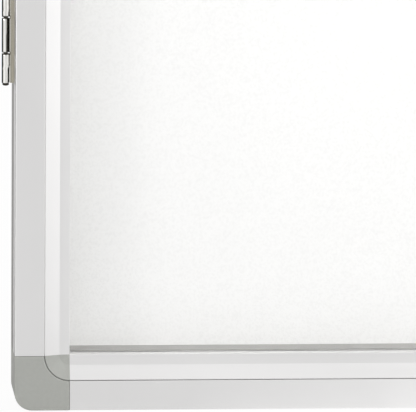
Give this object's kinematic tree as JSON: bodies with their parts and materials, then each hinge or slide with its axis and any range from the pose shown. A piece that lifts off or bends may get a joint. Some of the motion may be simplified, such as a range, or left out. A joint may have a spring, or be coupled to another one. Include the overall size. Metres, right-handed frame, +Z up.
{
  "type": "enclosed bulletin board",
  "caption": "Wall-hung notice case: an aluminium frame with grey plastic corners, a white panel, and a clear glazed door on side hinges with a cam lock.",
  "frame": {"origin": "centre of the four wall-screw holes, on the rear face of the case", "axes": "+X to the right seen from the front, +Z up, +Y into the wall; the glazed front faces -Y and the hinges are on the -X side"},
  "size_m": [0.6183, 0.077, 0.914],
  "materials": {
    "anodised_aluminium": "satin silver anodised, fine lines along the extrusion",
    "grey_plastic": "moulded, fine grain, warm grey",
    "nickel": "bright nickel plate",
    "zinc_steel": "zinc plated",
    "clear_acrylic": "clear, polished",
    "white_lacquer": "smooth white lacquer",
    "fibreboard": "pressed fibre",
    "galvanised_sheet": "galvanised, faint spangle",
    "foam_rubber": "closed-cell foam, matt grey"
  },
  "bodies": {
    "case": {"case_bottom_rail": "anodised_aluminium", "case_corner_bottom_left": "grey_plastic", "case_corner_bottom_right": "grey_plastic", "case_corner_top_left": "grey_plastic", "case_corner_top_right": "grey_plastic", "case_hinge_stile": "anodised_aluminium", "case_joint_screws": "zinc_steel", "case_lock_stile": "anodised_aluminium", "case_top_rail": "anodised_aluminium", "hinge_case_leaf_lower": "nickel", "hinge_case_leaf_upper": "nickel", "hinge_case_screws": "zinc_steel", "hinge_pin_lower": "nickel", "hinge_pin_upper": "nickel", "keeper_plate": "zinc_steel", "keeper_rivets": "zinc_steel", "panel_back_sheet": "galvanised_sheet", "panel_core": "fibreboard", "panel_face_sheet": "white_lacquer"},
    "door": {"bead_corner_bottom_left": "grey_plastic", "bead_corner_bottom_right": "grey_plastic", "bead_corner_top_left": "grey_plastic", "bead_corner_top_right": "grey_plastic", "door_bottom_rail": "anodised_aluminium", "door_corner_bottom_left": "grey_plastic", "door_corner_bottom_right": "grey_plastic", "door_corner_top_left": "grey_plastic", "door_corner_top_right": "grey_plastic", "door_hinge_stile": "anodised_aluminium", "door_joint_screws": "zinc_steel", "door_lock_stile": "anodised_aluminium", "door_pane": "clear_acrylic", "door_top_rail": "anodised_aluminium", "dust_seal_bottom": "foam_rubber", "dust_seal_left": "foam_rubber", "dust_seal_right": "foam_rubber", "dust_seal_top": "foam_rubber", "glazing_bead_bottom": "anodised_aluminium", "glazing_bead_left": "anodised_aluminium", "glazing_bead_right": "anodised_aluminium", "glazing_bead_top": "anodised_aluminium", "glazing_gasket_bottom": "foam_rubber", "glazing_gasket_left": "foam_rubber", "glazing_gasket_right": "foam_rubber", "glazing_gasket_top": "foam_rubber", "hinge_door_leaf_lower": "nickel", "hinge_door_leaf_upper": "nickel", "hinge_door_screws": "zinc_steel", "lock_body": "nickel", "lock_nut": "zinc_steel"},
    "lock_plug": {"lock_cam": "zinc_steel", "lock_cam_screw": "zinc_steel", "lock_key": "nickel", "lock_plug": "nickel"}
  },
  "joints": [
    {"name": "door_hinge", "type": "hinge", "parent": "case", "child": "door", "pos_m": [-0.3106, -0.0286, 0], "axis": [0, 0, -1], "range_deg": [0, 170]},
    {"name": "lock_turn", "type": "hinge", "parent": "door", "child": "lock_plug", "pos_m": [0.29478, -0.03, 0], "axis": [0, 1, 0], "range_deg": [0, 90]}
  ]
}
